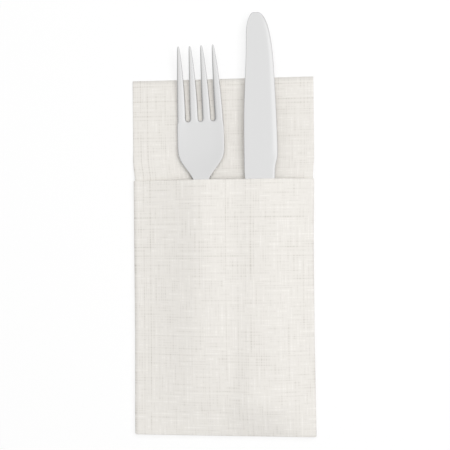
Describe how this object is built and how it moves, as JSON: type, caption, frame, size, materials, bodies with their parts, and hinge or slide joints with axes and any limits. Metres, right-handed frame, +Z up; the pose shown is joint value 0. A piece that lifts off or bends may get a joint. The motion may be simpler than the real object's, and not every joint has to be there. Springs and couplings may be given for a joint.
{
  "type": "cutlery pocket napkin set",
  "caption": "Table napkin folded to a tall rectangle whose turned-up pocket holds a table fork and a round-tipped table knife side by side.",
  "frame": {"origin": "middle of the underside of the whole set, on the surface that it lies on", "axes": "+Y along the cutlery towards the knife's tip, +Z up out of the pocket's face, +X to the knife's side"},
  "size_m": [0.1, 0.2294, 0.0159],
  "materials": {
    "napkin_sheet": "soft matt airlaid with an embossed linen pattern",
    "fork_steel": "polished stainless steel",
    "knife_steel": "polished stainless steel"
  },
  "bodies": {
    "root": {"napkin": "napkin_sheet", "fork": "fork_steel", "knife": "knife_steel"}
  },
  "joints": []
}
